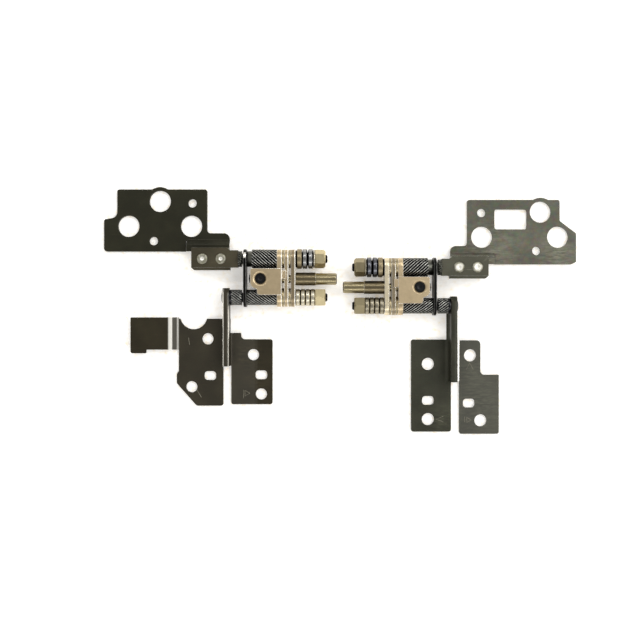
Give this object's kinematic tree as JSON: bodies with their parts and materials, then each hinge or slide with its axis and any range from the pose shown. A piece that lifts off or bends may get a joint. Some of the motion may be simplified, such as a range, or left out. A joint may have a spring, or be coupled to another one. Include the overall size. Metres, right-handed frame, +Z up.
{
  "type": "laptop hinge pair",
  "caption": "Geared friction hinges for a laptop with a fold-round lid: lid and base brackets on parallel shafts that a crossed helical idler gear keeps in step.",
  "frame": {"origin": "centre of the pair's outline, on the plane that the flat brackets lie on", "axes": "+X along the shafts from the left hinge to the right one, +Y from the base brackets to the lid brackets, +Z up off the table"},
  "size_m": [0.1178, 0.0616, 0.0063],
  "materials": {
    "left_bracket_steel": "satin olive-black",
    "right_bracket_steel": "satin olive-grey",
    "gear_steel": "blackened",
    "carrier_nickel": "champagne nickel plate",
    "link_black": "satin black",
    "tan_steel": "tan plate",
    "disc_steel": "oiled steel",
    "spring_steel": "blued spring steel",
    "bright_steel": "bright steel",
    "rivet_steel": "bright plate",
    "pin_steel": "olive-brown plate"
  },
  "bodies": {
    "carriers": {"left_link_plate": "link_black", "left_gear_bracket": "carrier_nickel", "left_inner_plate": "carrier_nickel", "left_outer_plate": "carrier_nickel", "left_centre_pin": "pin_steel", "left_idler_pin": "pin_steel", "right_link_plate": "link_black", "right_gear_bracket": "carrier_nickel", "right_inner_plate": "carrier_nickel", "right_outer_plate": "carrier_nickel", "right_centre_pin": "pin_steel", "right_idler_pin": "pin_steel"},
    "left_lid": {"left_lid_bracket": "left_bracket_steel", "left_lid_shaft": "gear_steel", "left_lid_rivets": "rivet_steel", "left_lid_friction_discs": "disc_steel", "left_lid_cover_disc": "disc_steel", "left_lid_thrust_washer": "tan_steel", "left_lid_disc_springs": "spring_steel", "left_lid_lock_washer": "tan_steel", "left_lid_nut": "tan_steel"},
    "left_base": {"left_base_bracket": "left_bracket_steel", "left_base_shaft": "gear_steel", "left_base_friction_discs": "disc_steel", "left_base_washers": "bright_steel", "left_base_nut": "tan_steel"},
    "left_idler": {"left_idler_gear": "gear_steel"},
    "right_lid": {"right_lid_bracket": "right_bracket_steel", "right_lid_shaft": "gear_steel", "right_lid_rivets": "rivet_steel", "right_lid_friction_discs": "disc_steel", "right_lid_cover_disc": "disc_steel", "right_lid_thrust_washer": "tan_steel", "right_lid_disc_springs": "spring_steel", "right_lid_lock_washer": "tan_steel", "right_lid_nut": "tan_steel"},
    "right_base": {"right_base_bracket": "right_bracket_steel", "right_base_shaft": "gear_steel", "right_base_friction_discs": "disc_steel", "right_base_washers": "bright_steel", "right_base_nut": "tan_steel"},
    "right_idler": {"right_idler_gear": "gear_steel"}
  },
  "joints": [
    {"name": "left_lid_turn", "type": "hinge", "parent": "carriers", "child": "left_lid", "pos_m": [-0.0196, 0.0127, 0.0032], "axis": [1, 0, 0], "range_deg": [-90, 90]},
    {"name": "left_base_turn", "type": "hinge", "parent": "carriers", "child": "left_base", "pos_m": [-0.0196, 0.0032, 0.0032], "axis": [1, 0, 0], "range_deg": [-90, 90]},
    {"name": "left_idler_turn", "type": "hinge", "parent": "carriers", "child": "left_idler", "pos_m": [-0.0196, 0.00775, 0.0032], "axis": [0, 0, 1], "range_deg": [-81.5, 81.5]},
    {"name": "right_lid_turn", "type": "hinge", "parent": "carriers", "child": "right_lid", "pos_m": [0.0194, 0.01063, 0.0032], "axis": [1, 0, 0], "range_deg": [-90, 90]},
    {"name": "right_base_turn", "type": "hinge", "parent": "carriers", "child": "right_base", "pos_m": [0.0194, 0.00113, 0.0032], "axis": [1, 0, 0], "range_deg": [-90, 90]},
    {"name": "right_idler_turn", "type": "hinge", "parent": "carriers", "child": "right_idler", "pos_m": [0.0194, 0.00568, 0.0032], "axis": [0, 0, 1], "range_deg": [-81.5, 81.5]}
  ],
  "couplings": [
    {"joint": "left_base_turn", "follows": "left_lid_turn", "ratio": -1},
    {"joint": "left_idler_turn", "follows": "left_lid_turn", "ratio": 0.9},
    {"joint": "right_base_turn", "follows": "right_lid_turn", "ratio": -1},
    {"joint": "right_idler_turn", "follows": "right_lid_turn", "ratio": -0.9}
  ]
}
